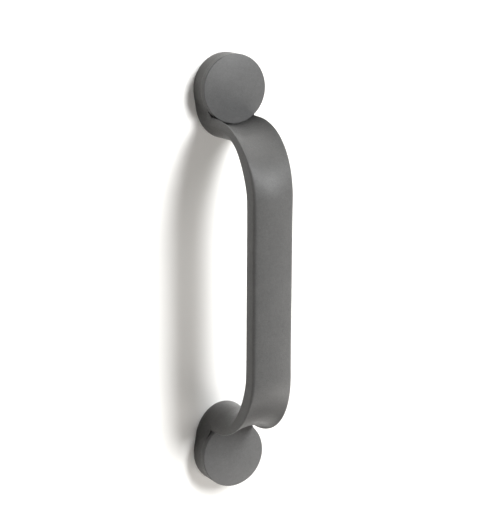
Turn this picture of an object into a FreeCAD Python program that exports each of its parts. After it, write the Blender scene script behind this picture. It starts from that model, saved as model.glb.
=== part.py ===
"""Wall-mounted support handle: a soft-covered steel band bent into an arch between two round feet.

Frame: the wall is the plane y = 0, the handle stands out towards -Y, +Z is up and +X is to the
right for a person facing the wall. The origin is the centre of the lower foot on the wall.
Each end is drawn once in foot coordinates: x, q (the distance from the wall) and r (the distance
from the foot's centre towards the grip). Millimetres throughout.
"""
import FreeCAD, Part
import os
from math import atan2, cos, degrees, pi, radians, sin, sqrt, tan

Vector = FreeCAD.Vector

# ---- driving dimensions -------------------------------------------------------------------
foot_spacing = 338.2          # centre to centre of the two feet
cap_diameter = 61.8           # cover cap and round foot
foot_height = 15.5            # wall to the seat that the cap closes on
cap_seam = 0.2                # gap between the cap's rim and the seat
cap_height = 4.0              # rim of the cap, seat side to face edge
cap_dome = 2.2                # rise of the cap's face at its centre
cap_edge_radius = 0.9
cap_wall = 2.4

grip_stand_off = 94.0         # wall to the front of the grip
grip_width = 39.2
grip_thickness = 19.4         # at the middle of the strip
grip_front_crown = 3.0        # rise of the middle above the strip's edges
grip_rear_crown = 1.5
grip_edge_radius = 3.1

arm_gap = 1.5                 # free space between the cap's side and the arm
arm_width = 43.3              # strip width where the arm leaves the foot
arm_thickness = 13.7          # at the middle of the arm, beside the cap
arm_edge_radius = 1.2
arm_bend_radius = 67.0        # of the strip's front edges
hand_side_width = 54.7        # full width of the rounding that forms the arm's hand side
hand_side_offset = 10.5       # foot centre to the centre of that rounding
hand_side_bend = (24.0, 80.0)     # degrees of bend over which that rounding fades out
width_bend = (25.0, 90.0)         # the same for the change from arm to grip width
edge_bend = (50.0, 110.0)         # the same for the edges, which go on into the grip
root_inset = 0.7              # the arm's sides on the wall, inside the circle of its root's face
root_side_margin = 0.8        # the hand side's rounding on the wall, beyond the arm's sides
root_edge_place = 12.0        # foot centre to the arm's edges on the wall
root_flare_height = 16.0      # height over which the arm narrows from root to arm width
hug_relief = 0.3              # the arm's hollow above the cap, beyond the free space beside it
fill_depth = 1.5              # how far the arm's root reaches into the round foot
root_clear_depth = 2.0        # below the seat, where the arm starts to leave the round foot
edge_room = 0.46              # largest edge radius, as a share of the strip's side

band_width = 22.0
band_thickness = 4.0
band_bend_inset = 11.6        # how much tighter the band bends than the cover's front edges
band_tab_width = 16.0
band_tab_bend_radius = 6.0    # middle of the band, where it turns under the cap
band_tab_end = -4.0           # end of the tab, past the foot's centre
band_cover = 3.6              # soft cover between the arm's hugging face and the band
band_front_cover = 9.8        # soft cover in front of the band along the grip

floor_thickness = 2.5         # soft floor between plate and wall
plate_thickness = 3.0
plate_diameter = 58.4
socket_diameter = 55.4        # opening in the foot that the cap closes
cap_fit_gap = 0.3             # radial clearance of the cap's snap ring in the socket
snap_ring_wall = 1.5
snap_ring_depth = 4.0         # how far the ring reaches below the seat
snap_bead = 0.25              # bead at the ring's free end
snap_bead_height = 1.2
cap_rim_inset = 1.2           # from the snap ring to the inside of the cap's rim
cap_rib_count = 6
cap_rib_width = 1.2
cap_rib_height = 1.2
cap_hub_diameter = 12.0

screw_circle = 36.0           # diameter of the circle through the wall screws
screw_count = 3
screw_diameter = 5.0
screw_neck_diameter = 5.2     # from the head to the wall's face
screw_length = 50.0
screw_thread_length = 32.0
screw_thread_depth = 0.7
screw_thread_run_out = 0.4    # from the last thread to the full shank
screw_pitch = 2.4
screw_point_share = 0.75      # radius of the blunt point's shoulder, as a share of the thread's core
screw_hole_gap = 0.2          # radial clearance of the screws' necks in plate and floor
screw_head_diameter = 9.4
screw_head_height = 3.3
screw_head_rim = 1.15         # straight part of the head's side
screw_hex = 3.2               # across flats of the drive socket
screw_hex_depth = 2.0
washer_diameter = 11.4
washer_thickness = 1.2

rivet_diameter = 4.0
rivet_head_diameter = 7.2
rivet_head_height = 1.9
rivet_tail_diameter = 6.4
rivet_tail_height = 1.4
rivet_places = (2.0, 21.0)    # from the foot's centre towards the grip

seal_outer_diameter = 55.6
seal_width = 4.5
seal_thickness = 1.5
seat_chamfer = 0.2

overlap = 0.5                 # how far pieces that are fused reach into each other
overrun = 1.0                 # how far a cutter reaches past a face
root_steps = 9                # sections of the strip from wall to bend, along the bend and
bend_steps = 12               # along half of the grip
grip_steps = 6
flat_steps = 4                # points over half of a section's front or rear
corner_steps = 5              # points round its edge
dome_steps = 6                # points over a rivet's or screw's head

# ---- worked out from them -----------------------------------------------------------------
cap_radius = cap_diameter / 2
hug_radius = cap_radius + arm_gap
edge_place = sqrt(hug_radius ** 2 - (arm_width / 2) ** 2)    # r of the strip's front edges
fill_radius = cap_radius - fill_depth                        # of the root's face inside the foot
root_half_width = fill_radius - root_inset                   # of the arm on the wall
root_reach = hug_radius + arm_thickness                      # r of the root's furthest point
edge_stand_off = grip_stand_off - grip_front_crown           # q of the strip's front edges
mid_place = foot_spacing / 2
bend_centre_q = edge_stand_off - arm_bend_radius
bend_centre_r = edge_place + arm_bend_radius
plate_back = floor_thickness
plate_front = plate_back + plate_thickness
tab_front = plate_front + band_thickness
band_place = hug_radius + band_cover + band_thickness / 2    # r of the band beside the cap
band_stand_off = grip_stand_off - band_front_cover - band_thickness / 2
band_bend_radius = arm_bend_radius - band_bend_inset         # middle of the band
seal_inner_diameter = seal_outer_diameter - 2 * seal_width
screw_head_seat = plate_front + washer_thickness
screw_hole = screw_neck_diameter / 2 + screw_hole_gap        # radius
cap_rim = foot_height + cap_seam
cap_face = cap_rim + cap_height


# ---- small helpers ------------------------------------------------------------------------
def blend(value, start, end):
    """0 before start, 1 after end, and a smooth step between them."""
    t = min(1.0, max(0.0, (value - start) / (end - start)))
    return t * t * (3 - 2 * t)


def mix(a, b, share):
    return a + (b - a) * share


def foot_point(x, q, r):
    """A point in foot coordinates, on the lower foot."""
    return Vector(x, -q, r)


def line(start, end):
    return Part.LineSegment(start, end).toShape()


def disc(radius, q_from, q_to, x=0.0, r=0.0):
    """A round bar that stands on the wall's normal."""
    return Part.makeCylinder(radius, q_to - q_from, foot_point(x, q_from, r), Vector(0, -1, 0))


def turned(profile, arc=None):
    """A solid turned about the foot's axis from (radius, q) corners.

    An arc follows on from the last corner, given by its middle and its end.
    """
    corners = [Vector(radius, -q, 0) for radius, q in profile]
    edges = [line(a, b) for a, b in zip(corners, corners[1:])]
    last = corners[-1]
    if arc:
        middle, end = [Vector(radius, -q, 0) for radius, q in arc]
        edges.append(Part.Arc(last, middle, end).toShape())
        last = end
    edges.append(line(last, corners[0]))
    face = Part.Face(Part.Wire(edges))
    return face.revolve(Vector(0, 0, 0), Vector(0, 1, 0), 360)


def mirrored(shape):
    """The same piece on the upper foot."""
    return shape.mirror(Vector(0, 0, mid_place), Vector(0, 0, 1))


def screw_places():
    """(x, r) of the wall screws: one on the side away from the grip."""
    places = []
    for number in range(screw_count):
        angle = pi + number * 2 * pi / screw_count
        places.append((screw_circle / 2 * sin(angle), screw_circle / 2 * cos(angle)))
    return places


# ---- the soft cover -----------------------------------------------------------------------
def strip_profile(place):
    """Front and rear of the strip over its width, as heights above its front edges' line.

    Each is a mix of the shape beside the cap, where the front hugs the cap and the hand side is
    rounded, and the shape of the straight grip.
    """
    edge, half_width, hug = place["edge"], place["half_width"], place["hug"]

    def front(x):
        beside_cap = edge - sqrt(hug ** 2 - x ** 2)
        grip = grip_front_crown * (1 - (x / half_width) ** 2)
        return mix(beside_cap, grip, place["front_share"])

    def rear(x):
        rounding = sqrt(max(0.0, 1 - (x / place["hand_side"]) ** 2))
        beside_cap = edge - hand_side_offset - (root_reach - hand_side_offset) * rounding
        grip = grip_front_crown - grip_thickness + grip_rear_crown * (x / half_width) ** 2
        return mix(beside_cap, grip, place["rear_share"])

    return front, rear


def section_outline(place):
    """Closed outline (x, height) of a strip section, from the middle of the rear to +x and round."""
    half_width = place["half_width"]
    front, rear = strip_profile(place)
    radius = min(place["edge_radius"], edge_room * (front(half_width) - rear(half_width)))
    flat_part = half_width - radius
    flat_places = [flat_part * step / flat_steps for step in range(flat_steps + 1)]
    turns = [pi / 2 * step / corner_steps for step in range(1, corner_steps + 1)]
    half = [(x, rear(x)) for x in flat_places]
    for turn in turns:
        x = flat_part + radius * sin(turn)
        half.append((x, rear(x) + radius * (1 - cos(turn))))
    for turn in reversed(turns):
        x = flat_part + radius * sin(turn)
        half.append((x, front(x) - radius * (1 - cos(turn))))
    half += [(x, front(x)) for x in reversed(flat_places)]
    return half + [(-x, height) for x, height in half[-2:0:-1]]


def curve_parameters(outlines):
    """Mean shares of the outlines' lengths at each point, so that all sections match."""
    total = [0.0] * (len(outlines[0]) + 1)
    for points in outlines:
        lengths = [0.0]
        for (x0, n0), (x1, n1) in zip(points, points[1:] + points[:1]):
            lengths.append(lengths[-1] + sqrt((x1 - x0) ** 2 + (n1 - n0) ** 2))
        total = [sum_so_far + length / lengths[-1] / len(outlines)
                 for sum_so_far, length in zip(total, lengths)]
    return total


def root_station(q):
    """The arm at height q: it flares towards the wall, and below the seat it fills the foot."""
    flare = max(0.0, 1 - q / root_flare_height) ** 2
    clear = blend(q, foot_height - root_clear_depth, bend_centre_q)
    edge = mix(edge_place, root_edge_place, flare)
    return {"point": (q, edge), "outward": (0.0, -1.0), "edge": edge,
            "front_share": 0.0, "rear_share": 0.0,
            "half_width": mix(arm_width / 2, root_half_width, flare),
            "hand_side": mix(hand_side_width / 2, root_half_width + root_side_margin, flare),
            "hug": mix(fill_radius, hug_radius + hug_relief, clear),
            "edge_radius": arm_edge_radius}


def edge_radius(turn):
    return mix(arm_edge_radius, grip_edge_radius, blend(turn, *edge_bend))


def bend_station(turn):
    """The arm after so many degrees of its bend."""
    outward = (sin(radians(turn)), -cos(radians(turn)))
    return {"point": (bend_centre_q + arm_bend_radius * outward[0],
                      bend_centre_r + arm_bend_radius * outward[1]),
            "outward": outward, "edge": edge_place,
            "front_share": blend(turn, 0, 90), "rear_share": blend(turn, *hand_side_bend),
            "half_width": mix(arm_width, grip_width, blend(turn, *width_bend)) / 2,
            "hand_side": hand_side_width / 2,
            "hug": hug_radius + hug_relief,
            "edge_radius": edge_radius(turn)}


def grip_station(r):
    """The straight grip at distance r from the foot's centre."""
    further = degrees((r - bend_centre_r) / arm_bend_radius)
    return dict(bend_station(90), point=(edge_stand_off, r), outward=(1.0, 0.0),
                edge_radius=edge_radius(90 + further))


def section_wire(place, parameters):
    (q0, r0), (out_q, out_r) = place["point"], place["outward"]
    points = [foot_point(x, q0 + out_q * n, r0 + out_r * n) for x, n in section_outline(place)]
    curve = Part.BSplineCurve()
    curve.interpolate(Points=points, PeriodicFlag=True, Parameters=parameters)
    return Part.Wire([curve.toShape()])


def half_strip():
    """One arm and half of the grip as one smooth strip, from the wall to the middle."""
    places = [root_station(bend_centre_q * step / root_steps) for step in range(root_steps)]
    places += [bend_station(90 * step / bend_steps) for step in range(bend_steps + 1)]
    places += [grip_station(mix(bend_centre_r, mid_place, step / grip_steps))
               for step in range(1, grip_steps + 1)]
    parameters = curve_parameters([section_outline(places[0]), section_outline(places[-1])])
    return Part.makeLoft([section_wire(place, parameters) for place in places], True, False)


def foot_shell():
    """The round foot under the cap, with a small chamfer at the seam."""
    return turned([(0, 0), (cap_radius, 0), (cap_radius, foot_height - seat_chamfer),
                   (cap_radius - seat_chamfer, foot_height), (0, foot_height)])


def foot_pockets():
    """What is free or hollow at a foot: room round the cap, the socket it closes, the plate's
    pocket, the seal's groove and the screw holes."""
    cap_room = disc(hug_radius, foot_height, bend_centre_q + arm_thickness)
    socket = disc(socket_diameter / 2, plate_front, foot_height + overrun)
    plate = disc(plate_diameter / 2, plate_back, plate_front)
    groove = ring(seal_outer_diameter, seal_inner_diameter, 0, seal_thickness)
    holes = [disc(screw_hole, 0, plate_back, x, r) for x, r in screw_places()]
    return [cap_room, socket, plate, groove] + holes


def handle_cover():
    half = half_strip().fuse(foot_shell()).cut(foot_pockets())
    return half.fuse(mirrored(half)).cut(core_band())


# ---- the steel core -----------------------------------------------------------------------
def flat(q, r):
    """A point in the plane x = 0."""
    return foot_point(0, q, r)


def rounded_path(corners, radii, offset):
    """Edges of an open path in the plane x = 0 with its corners rounded, moved sideways by offset.

    Also gives the path's two ends.
    """
    ways = [(b - a).normalize() for a, b in zip(corners, corners[1:])]
    normals = [way.cross(Vector(1, 0, 0)) for way in ways]
    first = corners[0] + normals[0] * offset
    last = corners[-1] + normals[-1] * offset
    edges, run_start = [], first
    for number, (corner, radius) in enumerate(zip(corners[1:-1], radii)):
        way, next_way = ways[number], ways[number + 1]
        normal, next_normal = normals[number], normals[number + 1]
        side = 1 if way.cross(next_way).x < 0 else -1
        tangent = radius * tan(way.getAngle(next_way) / 2)
        centre = corner - way * tangent + normal * (side * radius)
        reach = offset - side * radius
        arc_start = centre + normal * reach
        arc_middle = centre + (normal + next_normal).normalize() * reach
        arc_end = centre + next_normal * reach
        edges += [line(run_start, arc_start), Part.Arc(arc_start, arc_middle, arc_end).toShape()]
        run_start = arc_end
    return edges + [line(run_start, last)], first, last


def core_band():
    """Flat steel band from the tab under one cap, along arm and grip, to the other tab."""
    tab_middle = plate_front + band_thickness / 2
    far = foot_spacing
    corners = [flat(tab_middle, band_tab_end), flat(tab_middle, band_place),
               flat(band_stand_off, band_place), flat(band_stand_off, far - band_place),
               flat(tab_middle, far - band_place), flat(tab_middle, far - band_tab_end)]
    radii = [band_tab_bend_radius, band_bend_radius, band_bend_radius, band_tab_bend_radius]
    upper, upper_start, upper_end = rounded_path(corners, radii, band_thickness / 2)
    lower, lower_start, lower_end = rounded_path(corners, radii, -band_thickness / 2)
    ends = [line(upper_start, lower_start), line(upper_end, lower_end)]
    outline = Part.Wire(Part.__sortEdges__(upper + lower + ends))
    band = Part.Face(outline).extrude(Vector(band_width, 0, 0))
    band.translate(Vector(-band_width / 2, 0, 0))
    holes = [disc(rivet_diameter / 2, plate_back, tab_front + overrun, 0, r) for r in rivet_places]
    cuts = tab_waste() + holes
    return band.cut(cuts + [mirrored(cut) for cut in cuts])


def tab_waste():
    """What is cut off beside the narrow tab, with a slope back to the band's full width."""
    pieces = []
    slope_start = tab_front + band_tab_bend_radius
    slope_end = slope_start + (band_width - band_tab_width) / 2
    for side in (-1, 1):
        corners = [(band_tab_width / 2, 0), (band_tab_width / 2, slope_start),
                   (band_width / 2, slope_end), (band_width, slope_end), (band_width, 0)]
        points = [foot_point(side * x, q, band_tab_end - overrun) for x, q in corners]
        face = Part.Face(Part.makePolygon(points + points[:1]))
        length = band_place + band_thickness - band_tab_end + overrun
        pieces.append(face.extrude(Vector(0, 0, length)))
    return pieces


def mounting_plate():
    plate = disc(plate_diameter / 2, plate_back, plate_front)
    holes = [disc(screw_hole, 0, plate_front + overrun, x, r) for x, r in screw_places()]
    return plate.cut(holes + [rivet(r) for r in rivet_places])


def dome_turns():
    """Angles over a domed head, from its side up to just before its top."""
    return [pi / 2 * step / dome_steps for step in range(dome_steps)]


def rivet(r):
    """Countersunk tail in the plate's back, shank through plate and tab, domed head in front."""
    shank = rivet_diameter / 2
    tail_end = plate_back + rivet_tail_height
    head = rivet_head_diameter / 2
    dome = [(head * cos(turn), tab_front + rivet_head_height * sin(turn)) for turn in dome_turns()]
    solid = turned([(0, plate_back), (rivet_tail_diameter / 2, plate_back), (shank, tail_end),
                    (shank, tab_front)] + dome + [(0, tab_front + rivet_head_height)])
    solid.translate(Vector(0, 0, r))
    return solid


def plate_rivets():
    return Part.makeCompound([rivet(r) for r in rivet_places])


# ---- fastening to the wall ----------------------------------------------------------------
def ring(outer_diameter, inner_diameter, q_from, q_to, x=0.0, r=0.0):
    outer = disc(outer_diameter / 2, q_from, q_to, x, r)
    return outer.cut(disc(inner_diameter / 2, q_from - overrun, q_to + overrun, x, r))


def wall_screw(x, r):
    """Pan-head screw: a neck through plate and floor, then a plain shank, the thread and a point."""
    neck = screw_neck_diameter / 2
    shank = screw_diameter / 2
    core = shank - screw_thread_depth
    tip = screw_head_seat - screw_length
    head = screw_head_diameter / 2
    side_end = screw_head_seat + screw_head_rim
    top = screw_head_seat + screw_head_height
    first = tip + screw_pitch
    turns = int(screw_thread_length / screw_pitch)
    profile = [(0, tip), (core * screw_point_share, first)]
    for number in range(turns):
        q = first + number * screw_pitch
        profile += [(core, q + 0.1 * screw_pitch), (shank, q + 0.5 * screw_pitch),
                    (core, q + 0.9 * screw_pitch)]
    profile += [(shank, first + turns * screw_pitch + screw_thread_run_out), (shank, 0), (neck, 0),
                (neck, screw_head_seat), (head, screw_head_seat)]
    profile += [(head * cos(turn), mix(side_end, top, sin(turn))) for turn in dome_turns()]
    profile.append((0, top))
    solid = turned(profile)
    solid.translate(Vector(x, 0, r))
    hex_reach = screw_hex / sqrt(3)
    corners = [foot_point(x + hex_reach * cos(pi / 3 * side), top + overrun,
                          r + hex_reach * sin(pi / 3 * side)) for side in range(7)]
    drive = Part.Face(Part.makePolygon(corners)).extrude(Vector(0, screw_hex_depth + overrun, 0))
    return solid.cut(drive)


def wall_screws():
    return Part.makeCompound([wall_screw(x, r) for x, r in screw_places()])


def screw_washers():
    return Part.makeCompound([ring(washer_diameter, 2 * screw_hole, plate_front, screw_head_seat, x, r)
                              for x, r in screw_places()])


def wall_seal():
    return ring(seal_outer_diameter, seal_inner_diameter, 0, seal_thickness)


# ---- the cover cap ------------------------------------------------------------------------
def cover_cap():
    """Shallow domed cap with a snap ring that enters the socket, a hub and stiffening ribs."""
    ring_outer = socket_diameter / 2 - cap_fit_gap
    ring_inner = ring_outer - snap_bead - snap_ring_wall
    ring_end = foot_height - snap_ring_depth
    roof = cap_face - cap_wall
    inner_rim = ring_outer + cap_rim_inset

    dome_radius = (cap_radius ** 2 + cap_dome ** 2) / (2 * cap_dome)
    dome_centre = cap_face + cap_dome - dome_radius
    edge_x = cap_radius - cap_edge_radius
    edge_q = dome_centre + sqrt((dome_radius - cap_edge_radius) ** 2 - edge_x ** 2)
    lean = atan2(edge_x, edge_q - dome_centre)

    def on_edge(turn):
        return edge_x + cap_edge_radius * sin(turn), edge_q + cap_edge_radius * cos(turn)

    dome_foot = on_edge(lean)[1]
    profile = [(0, dome_foot), (0, roof), (ring_inner, roof), (ring_inner, ring_end),
               (ring_outer - snap_bead, ring_end), (ring_outer, ring_end + snap_bead),
               (ring_outer, ring_end + 3 * snap_bead),
               (ring_outer - snap_bead, ring_end + snap_bead_height),
               (ring_outer - snap_bead, roof), (inner_rim, roof), (inner_rim, cap_rim),
               (cap_radius - seat_chamfer, cap_rim), (cap_radius, cap_rim + seat_chamfer),
               on_edge(pi / 2)]
    body = turned(profile, (on_edge((pi / 2 + lean) / 2), on_edge(lean)))
    dome = Part.makeSphere(dome_radius, foot_point(0, dome_centre, 0))
    dome = dome.common(disc(cap_radius, dome_foot, cap_face + cap_dome + overrun))
    return body.fuse([dome, cap_hub(roof)] + cap_ribs(roof, ring_inner))


def cap_hub(roof):
    """Round hub under the cap's roof."""
    radius = cap_hub_diameter / 2
    rib_end = roof - cap_rib_height
    hub = disc(radius, rib_end, roof + overlap)
    return hub.cut(disc(radius - cap_rib_width, rib_end - overrun, roof + overrun))


def cap_ribs(roof, ring_inner):
    """Stiffening ribs under the roof, from the hub to the snap ring."""
    start = (cap_hub_diameter - cap_rib_width) / 2
    depth = cap_rib_height + overlap
    ribs = []
    for number in range(cap_rib_count):
        rib = Part.makeBox(cap_rib_width, depth, ring_inner + overlap - start)
        rib.translate(Vector(-cap_rib_width / 2, -(roof + overlap), start))
        rib.rotate(Vector(0, 0, 0), Vector(0, 1, 0), 360 * (number + 0.5) / cap_rib_count)
        ribs.append(rib)
    return ribs


# ---- nodes --------------------------------------------------------------------------------
def main():
    lower = {
        "mounting_plate": mounting_plate(),
        "plate_rivets": plate_rivets(),
        "wall_screws": wall_screws(),
        "screw_washers": screw_washers(),
        "wall_seal": wall_seal(),
        "cover_cap": cover_cap(),
    }
    nodes = {"handle_cover": handle_cover(), "core_band": core_band()}
    for name, shape in lower.items():
        nodes["lower_" + name] = shape
        nodes["upper_" + name] = mirrored(shape)
    os.makedirs("parts", exist_ok=True)
    for name, shape in nodes.items():
        shape.exportStep("parts/" + name + ".step")
        solids = shape.Solids
        print(name, "solids", len(solids), "volume %.1f" % sum(s.Volume for s in solids),
              "valid", shape.isValid())


main()
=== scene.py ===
"""Looks of the wall-mounted support handle: its soft cover, the materials, wall, floor and light.

Everything is in the part's frame, in metres: the wall is y = 0, the handle stands out towards -Y,
+Z is up, and the origin is the centre of the lower foot on the wall. The soft cover is drawn in
millimetres in foot coordinates: x, q (the distance from the wall) and r (the distance from the
lower foot's centre towards the grip).
"""
from math import atan2, cos, degrees, hypot, pi, radians, sin, sqrt

import bmesh
import bpy
from mathutils import Matrix, Vector


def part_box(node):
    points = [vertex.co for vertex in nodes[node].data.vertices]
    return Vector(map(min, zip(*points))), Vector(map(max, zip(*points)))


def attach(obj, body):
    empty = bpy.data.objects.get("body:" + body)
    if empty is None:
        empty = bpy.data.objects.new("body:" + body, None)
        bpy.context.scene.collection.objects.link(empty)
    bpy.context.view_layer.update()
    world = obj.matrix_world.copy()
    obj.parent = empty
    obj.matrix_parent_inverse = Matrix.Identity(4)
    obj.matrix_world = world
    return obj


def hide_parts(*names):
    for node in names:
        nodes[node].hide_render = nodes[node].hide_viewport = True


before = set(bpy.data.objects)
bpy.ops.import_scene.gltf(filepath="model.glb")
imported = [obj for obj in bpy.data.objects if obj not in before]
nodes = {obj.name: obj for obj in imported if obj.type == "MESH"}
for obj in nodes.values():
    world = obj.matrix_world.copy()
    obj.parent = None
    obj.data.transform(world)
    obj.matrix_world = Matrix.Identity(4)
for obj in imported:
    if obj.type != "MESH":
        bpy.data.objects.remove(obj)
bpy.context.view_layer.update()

MM = 0.001


def node_box(name):
    """Lowest and highest corner of a CAD node, in millimetres."""
    low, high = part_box(name)
    return low / MM, high / MM


# ---- sizes of the soft cover, in millimetres ------------------------------------------------
cap_low, cap_high = node_box("lower_cover_cap")
upper_cap_low, upper_cap_high = node_box("upper_cover_cap")
cover_low = node_box("handle_cover")[0]

CAP_RADIUS = (cap_high.x - cap_low.x) / 2
FOOT_SPACING = (upper_cap_low.z + upper_cap_high.z - cap_low.z - cap_high.z) / 2
GRIP_STAND_OFF = -cover_low.y

FOOT_HEIGHT = 15.5
SEAT_CHAMFER = 0.2
GRIP_WIDTH = 39.2
GRIP_THICKNESS = 19.4
GRIP_FRONT_CROWN = 3.0
GRIP_REAR_CROWN = 1.5
GRIP_EDGE_RADIUS = 3.1
ARM_GAP = 1.5
ARM_WIDTH = 43.3
ARM_THICKNESS = 13.7
ARM_EDGE_RADIUS = 1.2
ARM_BEND_RADIUS = 67.0
HAND_SIDE_WIDTH = 54.7
HAND_SIDE_OFFSET = 10.5
HAND_SIDE_BEND = (24.0, 80.0)
WIDTH_BEND = (25.0, 90.0)
EDGE_BEND = (50.0, 110.0)
ROOT_HALF_WIDTH = 28.7
ROOT_HAND_SIDE = 29.5
ROOT_EDGE_PLACE = 12.0
ROOT_FLARE_HEIGHT = 16.0
HUG_RELIEF = 0.3
FOOT_BLEND = 4.0              # how softly the round foot runs into the arm
EDGE_SHARE = 0.46             # an edge's radius is at most this share of the thickness there
FLOOR_THICKNESS = 2.5
PLATE_FRONT = 5.5
PLATE_RADIUS = 29.2
SOCKET_RADIUS = 27.7
SEAL_OUTER_RADIUS = 27.8
SEAL_INNER_RADIUS = 23.3
SEAL_THICKNESS = 1.5
SCREW_CIRCLE_RADIUS = 18.0
SCREW_HOLE_RADIUS = 2.8

HUG_RADIUS = CAP_RADIUS + ARM_GAP
EDGE_PLACE = sqrt(HUG_RADIUS ** 2 - (ARM_WIDTH / 2) ** 2)
ROOT_REACH = HUG_RADIUS + ARM_THICKNESS
EDGE_STAND_OFF = GRIP_STAND_OFF - GRIP_FRONT_CROWN
BEND_CENTRE_Q = EDGE_STAND_OFF - ARM_BEND_RADIUS
BEND_CENTRE_R = EDGE_PLACE + ARM_BEND_RADIUS

# points round a section of the strip, on one side of its middle
REAR_STEPS = 14
CORNER_STEPS = 6
FRONT_STEPS = 16
INSET_STEPS = 4               # over these a seat's chamfer starts beside the arm

# sections along the cover, from the wall to the middle of the grip
FOOT_STEPS = 9
ARM_STEPS = 7
BEND_STEPS = 36
GRIP_STEPS = 16

# round shapes that are cut out of the feet
CUTTER_SIDES = 160
HOLE_SIDES = 48
CUTTER_SINK = 0.6             # how far a cutter reaches past the face that it opens

SAME_POINT = 2e-6             # points nearer than this, in metres, are one
COVER_SHARP_ANGLE = 38
CAD_SHARP_ANGLE = 30


def blend(value, start, end):
    """0 before start, 1 after end, and a smooth step between them."""
    t = min(1.0, max(0.0, (value - start) / (end - start)))
    return t * t * (3 - 2 * t)


def mix(a, b, share):
    return a + (b - a) * share


def soft_max(a, b, reach):
    """The larger of two values, with a soft run between them where they nearly agree."""
    near = max(reach - abs(a - b), 0.0) / reach
    return max(a, b) + near * near * reach / 4


# ---- the soft cover -------------------------------------------------------------------------
def half_outline(place):
    """(x, height) from the middle of the rear over the side to the middle of the front."""
    edge, half_width, hug = place["edge"], place["half_width"], place["hug"]

    def front(x):
        beside_cap = edge - sqrt(hug ** 2 - x ** 2)
        grip = GRIP_FRONT_CROWN * (1 - (x / half_width) ** 2)
        return mix(beside_cap, grip, place["front_share"])

    def rear(x):
        rounding = sqrt(max(0.0, 1 - (x / place["hand_side"]) ** 2))
        beside_cap = edge - HAND_SIDE_OFFSET - (ROOT_REACH - HAND_SIDE_OFFSET) * rounding
        grip = GRIP_FRONT_CROWN - GRIP_THICKNESS + GRIP_REAR_CROWN * (x / half_width) ** 2
        return mix(beside_cap, grip, place["rear_share"])

    thickness = front(half_width) - rear(half_width)
    radius = min(place["edge_radius"], EDGE_SHARE * thickness)
    flat_part = half_width - radius
    points = [(flat_part * step / REAR_STEPS, rear(flat_part * step / REAR_STEPS))
              for step in range(REAR_STEPS + 1)]
    for step in range(1, CORNER_STEPS + 1):
        turn = pi / 2 * step / CORNER_STEPS
        x = flat_part + radius * sin(turn)
        points.append((x, rear(x) + radius * (1 - cos(turn))))
    for step in range(CORNER_STEPS, 0, -1):
        turn = pi / 2 * step / CORNER_STEPS
        x = flat_part + radius * sin(turn)
        points.append((x, front(x) - radius * (1 - cos(turn))))
    points += [(flat_part * step / FRONT_STEPS, front(flat_part * step / FRONT_STEPS))
               for step in range(FRONT_STEPS, -1, -1)]
    return points


def whole_ring(half):
    """Both sides of a section from the half on +x."""
    return half + [(-x, q, r) for x, q, r in half[-2:0:-1]]


def arm_place(q):
    """What shapes the arm's section beside the cap; it flares out towards the wall."""
    flare = max(0.0, 1 - q / ROOT_FLARE_HEIGHT) ** 2
    return {"edge": mix(EDGE_PLACE, ROOT_EDGE_PLACE, flare), "front_share": 0.0, "rear_share": 0.0,
            "half_width": mix(ARM_WIDTH / 2, ROOT_HALF_WIDTH, flare),
            "hand_side": mix(HAND_SIDE_WIDTH / 2, ROOT_HAND_SIDE, flare),
            "hug": HUG_RADIUS + HUG_RELIEF * blend(q, FOOT_HEIGHT, BEND_CENTRE_Q),
            "edge_radius": ARM_EDGE_RADIUS}


def arm_ring(q):
    """The arm beside the cap."""
    place = arm_place(q)
    return whole_ring([(x, q, place["edge"] - height) for x, height in half_outline(place)])


def bend_ring(turn, further=0.0):
    """The arm after so many degrees of its bend; the edges get rounder further on in the grip."""
    out_q, out_r = sin(radians(turn)), -cos(radians(turn))
    roundness = blend(turn + further, *EDGE_BEND)
    q0 = BEND_CENTRE_Q + ARM_BEND_RADIUS * out_q
    r0 = BEND_CENTRE_R + ARM_BEND_RADIUS * out_r
    place = {"edge": EDGE_PLACE, "front_share": blend(turn, 0, 90),
             "rear_share": blend(turn, *HAND_SIDE_BEND),
             "half_width": mix(ARM_WIDTH, GRIP_WIDTH, blend(turn, *WIDTH_BEND)) / 2,
             "hand_side": HAND_SIDE_WIDTH / 2, "hug": HUG_RADIUS + HUG_RELIEF,
             "edge_radius": mix(ARM_EDGE_RADIUS, GRIP_EDGE_RADIUS, roundness)}
    return whole_ring([(x, q0 + out_q * height, r0 + out_r * height)
                       for x, height in half_outline(place)])


def grip_ring(r):
    """The straight grip; it has the bend's last section, with ever rounder edges."""
    shift = r - BEND_CENTRE_R
    return [(x, q, r0 + shift) for x, q, r0 in bend_ring(90, degrees(shift / ARM_BEND_RADIUS))]


def foot_ring(q, inset=0.0):
    """The round foot and the arm's root in one outline, below the seat of the cap."""
    place = arm_place(q)
    outline = half_outline(place)
    rear_count = REAR_STEPS + CORNER_STEPS + 1
    half = []
    for x, height in outline[:rear_count]:
        r = place["edge"] - height
        reach = hypot(x, r)
        pushed = soft_max(reach, CAP_RADIUS, FOOT_BLEND) / reach
        half.append((x * pushed, q, r * pushed))
    side_turn = atan2(half[-1][0], half[-1][2])
    front_count = len(outline) - rear_count
    for step in range(1, front_count + 1):
        turn = mix(side_turn, pi, step / front_count)
        side = place["half_width"] / sin(turn) if turn < pi / 2 else 0.0
        reach = soft_max(CAP_RADIUS, side, FOOT_BLEND) - inset * blend(step, 0, INSET_STEPS)
        half.append((reach * sin(turn), q, reach * cos(turn)))
    return whole_ring(half)


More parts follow.
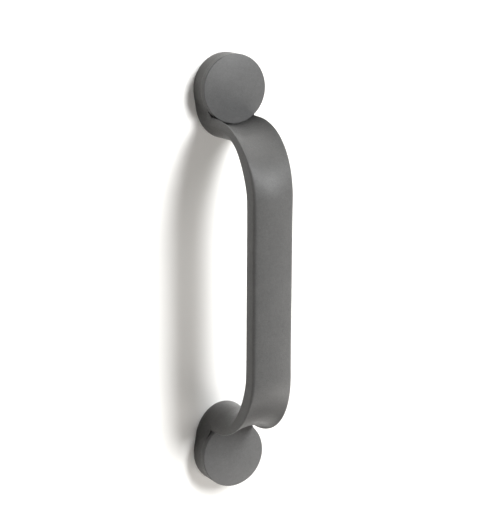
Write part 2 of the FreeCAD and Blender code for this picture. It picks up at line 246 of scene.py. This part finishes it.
def cover_rings():
    """All sections from the lower foot on the wall to the upper one."""
    seat_edge = FOOT_HEIGHT - SEAT_CHAMFER
    rings = [foot_ring(seat_edge * step / FOOT_STEPS) for step in range(FOOT_STEPS + 1)]
    rings.append(foot_ring(FOOT_HEIGHT, SEAT_CHAMFER))
    rings += [arm_ring(mix(FOOT_HEIGHT, BEND_CENTRE_Q, step / ARM_STEPS))
              for step in range(ARM_STEPS)]
    rings += [bend_ring(90 * step / BEND_STEPS) for step in range(BEND_STEPS + 1)]
    rings += [grip_ring(mix(BEND_CENTRE_R, FOOT_SPACING / 2, step / GRIP_STEPS))
              for step in range(1, GRIP_STEPS + 1)]
    far = [[(x, q, FOOT_SPACING - r) for x, q, r in ring] for ring in rings[-2::-1]]
    return rings + far


def closed(mesh):
    """Merges points that coincide, closes four-sided gaps and turns all normals outward."""
    shape = bmesh.new()
    shape.from_mesh(mesh)
    bmesh.ops.remove_doubles(shape, verts=shape.verts, dist=SAME_POINT)
    bmesh.ops.holes_fill(shape, edges=shape.edges, sides=4)
    bmesh.ops.recalc_face_normals(shape, faces=shape.faces)
    shape.to_mesh(mesh)
    shape.free()


def mesh_object(name, corners, faces):
    """A closed mesh from (x, q, r) corners in millimetres."""
    mesh = bpy.data.meshes.new(name)
    mesh.from_pydata([(x * MM, -q * MM, r * MM) for x, q, r in corners], [], faces)
    closed(mesh)
    piece = bpy.data.objects.new(name, mesh)
    bpy.context.scene.collection.objects.link(piece)
    return piece


def lofted(name, rings):
    """A solid through closed rings of points, with a flat face at either end."""
    count = len(rings[0])
    corners = [point for ring in rings for point in ring]
    faces = []
    for row in range(len(rings) - 1):
        for column in range(count):
            following = (column + 1) % count
            faces.append((row * count + column, row * count + following,
                          (row + 1) * count + following, (row + 1) * count + column))
    faces.append(tuple(range(count)))
    last = (len(rings) - 1) * count
    faces.append(tuple(last + column for column in reversed(range(count))))
    return mesh_object(name, corners, faces)


def turned(name, profile, x, r, sides=CUTTER_SIDES):
    """A solid turned about the wall's normal at (x, r) from (radius, q) corners."""
    count = len(profile)
    corners = []
    for number in range(sides):
        turn = 2 * pi * number / sides
        corners += [(x + radius * sin(turn), q, r + radius * cos(turn)) for radius, q in profile]
    faces = []
    for number in range(sides):
        following = (number + 1) % sides
        for place in range(count):
            after = (place + 1) % count
            faces.append((number * count + place, number * count + after,
                          following * count + after, following * count + place))
    return mesh_object(name, corners, faces)


def cut_away(piece, cutters):
    """Takes the cutters' shapes out of the piece and deletes them."""
    for cutter in cutters:
        step = piece.modifiers.new("cut", "BOOLEAN")
        step.operation = "DIFFERENCE"
        step.solver = "EXACT"
        step.object = cutter
    bpy.context.view_layer.update()
    graph = bpy.context.evaluated_depsgraph_get()
    mesh = bpy.data.meshes.new_from_object(piece.evaluated_get(graph))
    closed(mesh)
    piece.modifiers.clear()
    piece.data = mesh
    for cutter in cutters:
        bpy.data.objects.remove(cutter)


def foot_cutters(centre):
    """What is hollow at a foot: socket, plate pocket, seal groove and screw holes."""
    seat, behind_wall = FOOT_HEIGHT + CUTTER_SINK, -CUTTER_SINK
    pocket = [(0, FLOOR_THICKNESS), (PLATE_RADIUS, FLOOR_THICKNESS), (PLATE_RADIUS, PLATE_FRONT),
              (SOCKET_RADIUS, PLATE_FRONT), (SOCKET_RADIUS, seat), (0, seat)]
    groove = [(SEAL_INNER_RADIUS, behind_wall), (SEAL_OUTER_RADIUS, behind_wall),
              (SEAL_OUTER_RADIUS, SEAL_THICKNESS), (SEAL_INNER_RADIUS, SEAL_THICKNESS)]
    through = FLOOR_THICKNESS + CUTTER_SINK
    hole = [(0, behind_wall), (SCREW_HOLE_RADIUS, behind_wall), (SCREW_HOLE_RADIUS, through),
            (0, through)]
    away = 1 if centre else -1
    cutters = [turned("pocket", pocket, 0, centre), turned("groove", groove, 0, centre)]
    for number in range(3):
        turn = number * 2 * pi / 3
        cutters.append(turned("hole", hole, SCREW_CIRCLE_RADIUS * sin(turn),
                              centre + away * SCREW_CIRCLE_RADIUS * cos(turn), HOLE_SIDES))
    return cutters


def smooth(piece, sharp_angle):
    """Smooth shading, with edges that turn by more than so many degrees kept sharp."""
    piece.data.shade_smooth()
    piece.data.set_sharp_from_angle(angle=radians(sharp_angle))


def soft_cover():
    cover = lofted("soft_cover", cover_rings())
    cut_away(cover, foot_cutters(0) + foot_cutters(FOOT_SPACING))
    smooth(cover, COVER_SHARP_ANGLE)
    return cover


# ---- materials ------------------------------------------------------------------------------
class Surface:
    """A material under construction, in the object's own coordinates."""

    def __init__(self, name):
        self.material = bpy.data.materials.new(name)
        self.material.use_nodes = True
        self.tree = self.material.node_tree
        self.shader = self.tree.nodes["Principled BSDF"]
        self.place = self.add("ShaderNodeTexCoord").outputs["Object"]

    def add(self, kind, **settings):
        node = self.tree.nodes.new(kind)
        for name, value in settings.items():
            setattr(node, name, value)
        return node

    def link(self, source, target):
        self.tree.links.new(source, target)

    def stretched(self, scale):
        node = self.add("ShaderNodeMapping")
        node.inputs["Scale"].default_value = scale
        self.link(self.place, node.inputs["Vector"])
        return node.outputs["Vector"]

    def noise(self, scale, detail=2.0, roughness=0.5, stretch=None):
        """Noise with features of about 1 / scale metres."""
        node = self.add("ShaderNodeTexNoise")
        node.inputs["Scale"].default_value = scale
        node.inputs["Detail"].default_value = detail
        node.inputs["Roughness"].default_value = roughness
        self.link(self.stretched(stretch) if stretch else self.place, node.inputs["Vector"])
        return node.outputs["Fac"]

    def cells(self, scale):
        node = self.add("ShaderNodeTexVoronoi")
        node.inputs["Scale"].default_value = scale
        self.link(self.place, node.inputs["Vector"])
        return node.outputs["Distance"]

    def ranged(self, value, low, high, to_low, to_high):
        node = self.add("ShaderNodeMapRange")
        for name, number in (("From Min", low), ("From Max", high), ("To Min", to_low),
                             ("To Max", to_high)):
            node.inputs[name].default_value = number
        self.link(value, node.inputs["Value"])
        return node.outputs["Result"]

    def product(self, first, second):
        node = self.add("ShaderNodeMath", operation="MULTIPLY")
        self.link(first, node.inputs[0])
        self.link(second, node.inputs[1])
        return node.outputs["Value"]

    def tinted(self, colour, value):
        """The colour made darker or lighter by a value round 1."""
        node = self.add("ShaderNodeVectorMath", operation="SCALE")
        node.inputs[0].default_value = colour
        self.link(value, node.inputs["Scale"])
        return node.outputs["Vector"]

    def bump(self, height, depth, strength=1.0, under=None):
        node = self.add("ShaderNodeBump")
        node.inputs["Distance"].default_value = depth
        node.inputs["Strength"].default_value = strength
        self.link(height, node.inputs["Height"])
        if under is not None:
            self.link(under, node.inputs["Normal"])
        return node.outputs["Normal"]

    def edges(self, low, high):
        """0 on flat surfaces and 1 on sharp outer edges."""
        node = self.add("ShaderNodeNewGeometry")
        return self.ranged(node.outputs["Pointiness"], low, high, 0.0, 1.0)


def moulded_rubber(name, colour, cloud, speck, rough, specular, grain_depth, edge_wear_and_highlight):
    """Matt moulded soft plastic: faint clouds, fine specks, an eroded mould's grain, and outer
    edges lightened partly for wear and partly as a painted highlight.
    """
    surface = Surface(name)
    clouds = surface.ranged(surface.noise(55, 3), 0.3, 0.7, 1 - cloud, 1 + cloud)
    patches = surface.ranged(surface.noise(300, 3), 0.3, 0.7, 1 - cloud, 1 + cloud)
    specks = surface.ranged(surface.noise(1500, 2, 0.6), 0.3, 0.7, 1 - speck, 1 + speck)
    shade = surface.product(surface.product(clouds, patches), specks)
    # outer edges made lighter: partly wear, partly a painted highlight along them
    worn_and_highlit_edges = surface.ranged(surface.edges(0.508, 0.535), 0, 1, 1.0, 1.0 + edge_wear_and_highlight)
    surface.link(surface.tinted(colour, surface.product(shade, worn_and_highlit_edges)),
                 surface.shader.inputs["Base Color"])
    surface.link(surface.ranged(surface.noise(700, 3), 0.3, 0.7, rough - 0.06, rough + 0.06),
                 surface.shader.inputs["Roughness"])
    coarse = surface.bump(surface.noise(420, 2), grain_depth * 1.6, 0.5)
    fine = surface.bump(surface.noise(1900, 3, 0.6), grain_depth, 0.8, coarse)
    surface.link(fine, surface.shader.inputs["Normal"])
    surface.shader.inputs["Specular IOR Level"].default_value = specular
    return surface.material


def brushed_steel(name, colour, rough, stretch, scale, scratch_depth):
    """Steel with brush or rolling marks along one direction, and faint stains."""
    surface = Surface(name)
    marks = surface.noise(scale, 4, 0.6, stretch)
    stains = surface.ranged(surface.noise(120, 3), 0.3, 0.75, 1.0, 0.86)
    lines = surface.ranged(marks, 0.3, 0.7, 0.94, 1.05)
    surface.link(surface.tinted(colour, surface.product(stains, lines)),
                 surface.shader.inputs["Base Color"])
    surface.link(surface.ranged(marks, 0.3, 0.7, rough - 0.07, rough + 0.09),
                 surface.shader.inputs["Roughness"])
    surface.link(surface.bump(marks, scratch_depth, 0.5), surface.shader.inputs["Normal"])
    surface.shader.inputs["Metallic"].default_value = 1.0
    return surface.material


def foam(name, colour):
    surface = Surface(name)
    pores = surface.cells(1300)
    surface.link(surface.tinted(colour, surface.ranged(pores, 0.0, 0.6, 0.6, 1.25)),
                 surface.shader.inputs["Base Color"])
    surface.link(surface.bump(pores, 0.00025), surface.shader.inputs["Normal"])
    surface.shader.inputs["Roughness"].default_value = 0.92
    return surface.material


def give(piece, material):
    piece.data.materials.clear()
    piece.data.materials.append(material)


def dress_part():
    soft = moulded_rubber("soft_grey_rubber", (0.0955, 0.095, 0.0935), cloud=0.045, speck=0.14,
                          rough=0.43, specular=0.22, grain_depth=0.00009, edge_wear_and_highlight=0.45)
    caps = moulded_rubber("cap_grey_plastic", (0.099, 0.099, 0.0985), cloud=0.045, speck=0.12,
                          rough=0.41, specular=0.28, grain_depth=0.00008, edge_wear_and_highlight=0.06)
    spring = brushed_steel("rolled_spring_steel", (0.34, 0.34, 0.35), rough=0.42,
                           stretch=(9, 9, 0.5), scale=90, scratch_depth=0.0001)
    plate = brushed_steel("brushed_plate_steel", (0.56, 0.56, 0.55), rough=0.34,
                          stretch=(0.6, 8, 8), scale=260, scratch_depth=0.00006)
    rivets = brushed_steel("rivet_steel", (0.5, 0.5, 0.5), rough=0.36,
                           stretch=(1, 1, 1), scale=500, scratch_depth=0.00005)
    screws = brushed_steel("screw_steel", (0.58, 0.575, 0.56), rough=0.28,
                           stretch=(2, 1, 2), scale=420, scratch_depth=0.00005)
    washers = brushed_steel("washer_steel", (0.6, 0.6, 0.59), rough=0.3,
                            stretch=(1, 3, 1), scale=420, scratch_depth=0.00004)
    seal = foam("seal_foam", (0.035, 0.035, 0.036))

    cover = soft_cover()
    give(cover, soft)
    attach(cover, "handle")
    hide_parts("handle_cover")

    dress = {"core_band": spring}
    for foot in ("lower_", "upper_"):
        dress.update({foot + "mounting_plate": plate, foot + "plate_rivets": rivets,
                      foot + "wall_screws": screws, foot + "screw_washers": washers,
                      foot + "wall_seal": seal, foot + "cover_cap": caps})
    for name, material in dress.items():
        give(nodes[name], material)
        smooth(nodes[name], CAD_SHARP_ANGLE)


# ---- wall, floor, light and camera ----------------------------------------------------------
WALL_REACH = 1.3
WALL_TOP = 1.2
FLOOR_REACH = 2.4
FLOOR_Z = -0.16
LIGHT_DISTANCE = 3.2
NEUTRAL = (0.99, 1.0, 1.01)
WARM = (1.0, 0.965, 0.93)
WORLD_STRENGTH = 0.07
MIDDLE = FOOT_SPACING * MM / 2          # height of the handle's middle
CAMERA_PLACE = (-0.71106, -1.3228, 0.34013)    # from the handle's middle on the wall
CAMERA_LENS = 118.57
LOOK_RIGHT, LOOK_DOWN, LEAN = 28.925, 12.235, 0.31


def one_sided(name, colour):
    """Plain paint that is seen from its front only, so that it never hides the part."""
    surface = Surface(name)
    surface.shader.inputs["Base Color"].default_value = (*colour, 1)
    surface.shader.inputs["Roughness"].default_value = 0.9
    surface.shader.inputs["Specular IOR Level"].default_value = 0.1
    clear = surface.add("ShaderNodeBsdfTransparent")
    chosen = surface.add("ShaderNodeMixShader")
    side = surface.add("ShaderNodeNewGeometry")
    output = surface.tree.nodes["Material Output"]
    surface.link(side.outputs["Backfacing"], chosen.inputs["Fac"])
    surface.link(surface.shader.outputs["BSDF"], chosen.inputs[1])
    surface.link(clear.outputs["BSDF"], chosen.inputs[2])
    surface.link(chosen.outputs["Shader"], output.inputs["Surface"])
    return surface.material


def stage_plane(name, corners, material):
    mesh = bpy.data.meshes.new(name)
    mesh.from_pydata(corners, [], [(0, 1, 2, 3)])
    plane = bpy.data.objects.new(name, mesh)
    bpy.context.scene.collection.objects.link(plane)
    mesh.materials.append(material)
    return plane


def build_stage():
    """A wall behind the handle and a floor below it; no light on the part comes off the floor."""
    wall = stage_plane("wall", [(-WALL_REACH, 0, FLOOR_Z), (WALL_REACH, 0, FLOOR_Z),
                                (WALL_REACH, 0, WALL_TOP), (-WALL_REACH, 0, WALL_TOP)],
                       one_sided("wall_paint", (0.93, 0.923, 0.9)))
    wall.visible_shadow = False
    floor = stage_plane("floor", [(-FLOOR_REACH, -FLOOR_REACH, FLOOR_Z),
                                  (FLOOR_REACH, -FLOOR_REACH, FLOOR_Z),
                                  (FLOOR_REACH, FLOOR_REACH, FLOOR_Z),
                                  (-FLOOR_REACH, FLOOR_REACH, FLOOR_Z)],
                        one_sided("floor_paint", (0.86, 0.86, 0.855)))
    floor.visible_shadow = False
    floor.visible_diffuse = False
    floor.visible_glossy = False


def soft_light(name, across, up, size, watts, colour):
    """A round studio light that shines at the middle of the handle.

    Seen from there it stands so many degrees to the right of the wall's normal, and so many up.
    """
    target = Vector((0, -0.04, MIDDLE))
    data = bpy.data.lights.new(name, "AREA")
    data.shape = "DISK"
    data.size = size
    data.energy = watts
    data.color = colour
    lamp = bpy.data.objects.new(name, data)
    bpy.context.scene.collection.objects.link(lamp)
    across, up = radians(across), radians(up)
    way = Vector((sin(across) * cos(up), -cos(across) * cos(up), sin(up)))
    lamp.location = target + way * LIGHT_DISTANCE
    lamp.rotation_euler = way.to_track_quat("Z", "Y").to_euler()
    lamp.visible_camera = False


def build_light():
    soft_light("key_low", 24, 20, 1.0, 57, NEUTRAL)
    soft_light("key_high", 24, 35, 1.0, 70, NEUTRAL)
    soft_light("key_side", 42, 36, 1.0, 14, NEUTRAL)
    soft_light("left_low_fill", -20, -45, 1.72, 20, WARM)
    soft_light("low_fill", 15, -45, 1.72, 26, WARM)
    soft_light("right_low_fill", 50, -40, 1.72, 26, WARM)
    soft_light("right_fill", 75, -30, 1.72, 30, WARM)
    soft_light("upper_right_fill", 75, 60, 1.72, 24, WARM)
    soft_light("rear_fill", 150, -10, 1.72, 20, NEUTRAL)


def build_world():
    """Faint even light, behind which the camera sees plain white."""
    world = bpy.data.worlds.new("studio")
    world.use_nodes = True
    tree = world.node_tree
    background = tree.nodes["Background"]
    background.inputs["Color"].default_value = (1, 1, 1, 1)
    background.inputs["Strength"].default_value = WORLD_STRENGTH
    seen = tree.nodes.new("ShaderNodeBackground")
    seen.inputs["Color"].default_value = (1, 1, 1, 1)
    seen.inputs["Strength"].default_value = 1.0
    path = tree.nodes.new("ShaderNodeLightPath")
    chosen = tree.nodes.new("ShaderNodeMixShader")
    tree.links.new(path.outputs["Is Camera Ray"], chosen.inputs["Fac"])
    tree.links.new(background.outputs["Background"], chosen.inputs[1])
    tree.links.new(seen.outputs["Background"], chosen.inputs[2])
    tree.links.new(chosen.outputs["Shader"], tree.nodes["World Output"].inputs["Surface"])
    bpy.context.scene.world = world


def build_camera():
    """A camera to the left of the handle and above it, that looks to the right and down."""
    across, down, lean = radians(LOOK_RIGHT), radians(LOOK_DOWN), radians(LEAN)
    forward = Vector((sin(across) * cos(down), cos(across) * cos(down), -sin(down)))
    level = Vector((cos(across), -sin(across), 0))
    upright = level.cross(forward)
    right = level * cos(lean) + upright * sin(lean)
    up = upright * cos(lean) - level * sin(lean)
    data = bpy.data.cameras.new("camera")
    data.lens = CAMERA_LENS
    data.sensor_width = 36
    data.clip_start = 0.05
    camera = bpy.data.objects.new("camera", data)
    bpy.context.scene.collection.objects.link(camera)
    rotation = Matrix((right, up, -forward)).transposed().to_4x4()
    place = Vector((0, 0, MIDDLE)) + Vector(CAMERA_PLACE)
    camera.matrix_world = Matrix.Translation(place) @ rotation
    bpy.context.scene.camera = camera


dress_part()
build_stage()
build_light()
build_world()
build_camera()
bpy.context.scene.view_settings.view_transform = "Standard"
